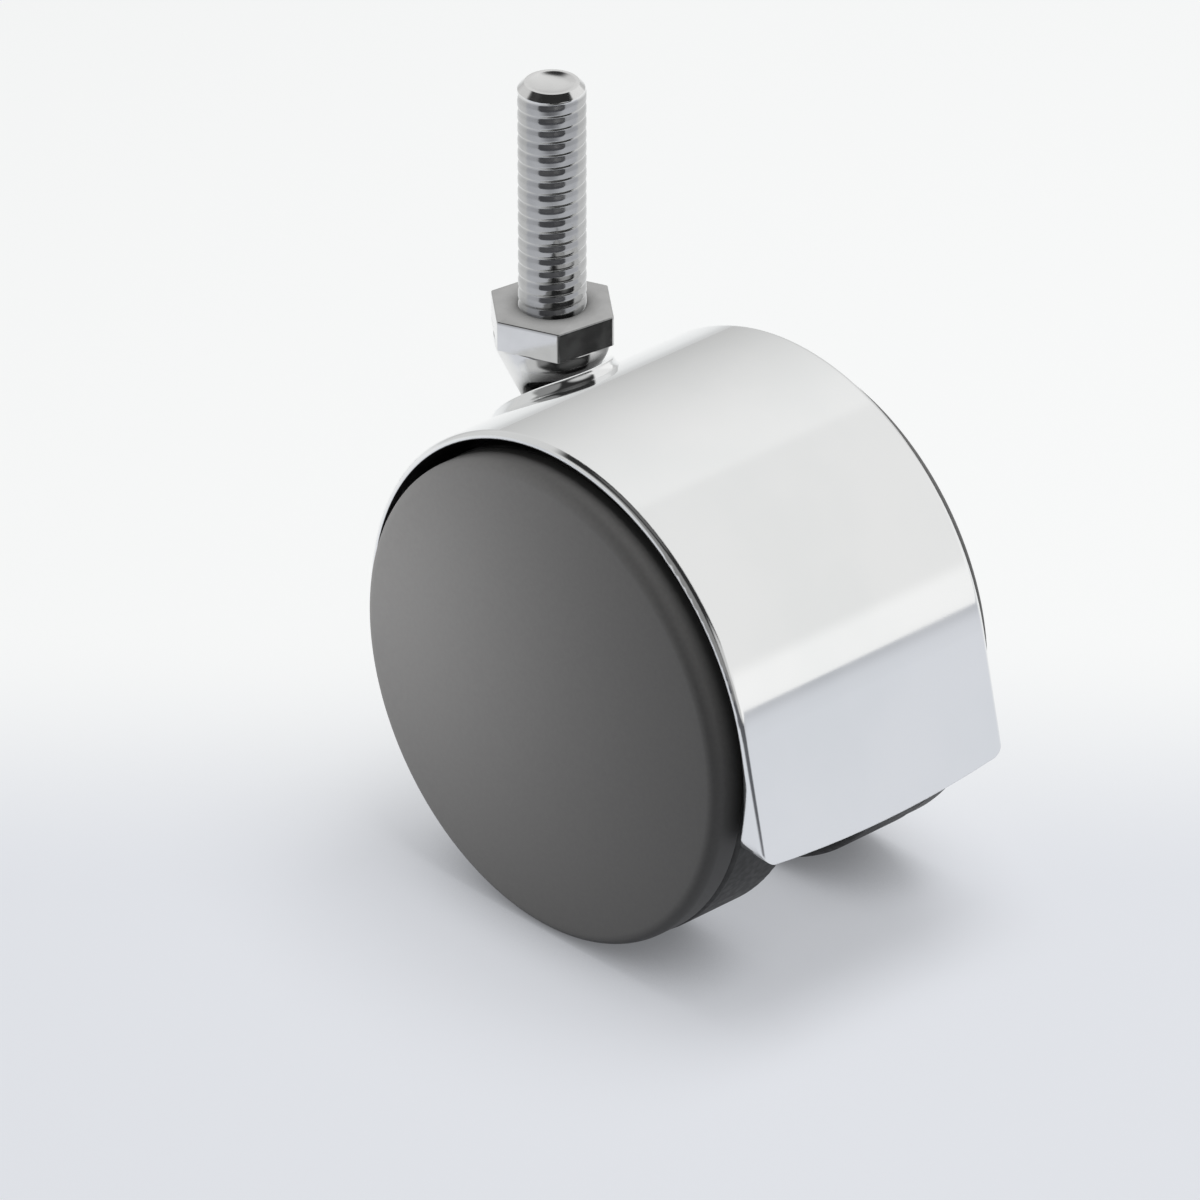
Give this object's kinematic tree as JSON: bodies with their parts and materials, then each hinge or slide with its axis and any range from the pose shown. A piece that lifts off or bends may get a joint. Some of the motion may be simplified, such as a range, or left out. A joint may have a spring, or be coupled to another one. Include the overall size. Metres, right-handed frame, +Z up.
{
  "type": "twin wheel castor",
  "caption": "Swivelling twin wheel castor with a polished chrome hood, grey domed wheel covers and an upright threaded stem with a hexagon for screwing into furniture.",
  "frame": {"origin": "on the stem's axis at the top face of its hexagon, the face that clamps against the furniture", "axes": "+Z up the thread, +X from the stem towards the axle, +Y along the axle towards the far wheel"},
  "size_m": [0.0843, 0.057, 0.1185],
  "materials": {
    "chrome": "polished chrome plate on a zinc casting",
    "plated_steel": "bright plated turned steel",
    "steel": "plain turned steel",
    "spring_steel": "oiled spring steel",
    "acetal": "natural acetal",
    "black_nylon": "moulded black nylon",
    "grey_plastic": "smooth matte mid grey moulding"
  },
  "bodies": {
    "stem": {"threaded_stem": "plated_steel", "retaining_ring": "spring_steel"},
    "hood": {"hood_body": "chrome", "thrust_washer": "steel", "upper_bush": "acetal", "lower_bush": "acetal", "axle": "steel", "near_spacer": "steel", "far_spacer": "steel", "near_lock_ring": "spring_steel", "far_lock_ring": "spring_steel"},
    "near_wheel": {"near_wheel": "black_nylon", "near_sleeve": "acetal", "near_cover": "grey_plastic"},
    "far_wheel": {"far_wheel": "black_nylon", "far_sleeve": "acetal", "far_cover": "grey_plastic"}
  },
  "joints": [
    {"name": "swivel", "type": "hinge", "parent": "stem", "child": "hood", "pos_m": [0, 0, 0], "axis": [0, 0, 1], "continuous": true},
    {"name": "near_spin", "type": "hinge", "parent": "hood", "child": "near_wheel", "pos_m": [0.0266, 0, -0.04499], "axis": [0, 1, 0], "continuous": true},
    {"name": "far_spin", "type": "hinge", "parent": "hood", "child": "far_wheel", "pos_m": [0.0266, 0, -0.04499], "axis": [0, 1, 0], "continuous": true}
  ]
}
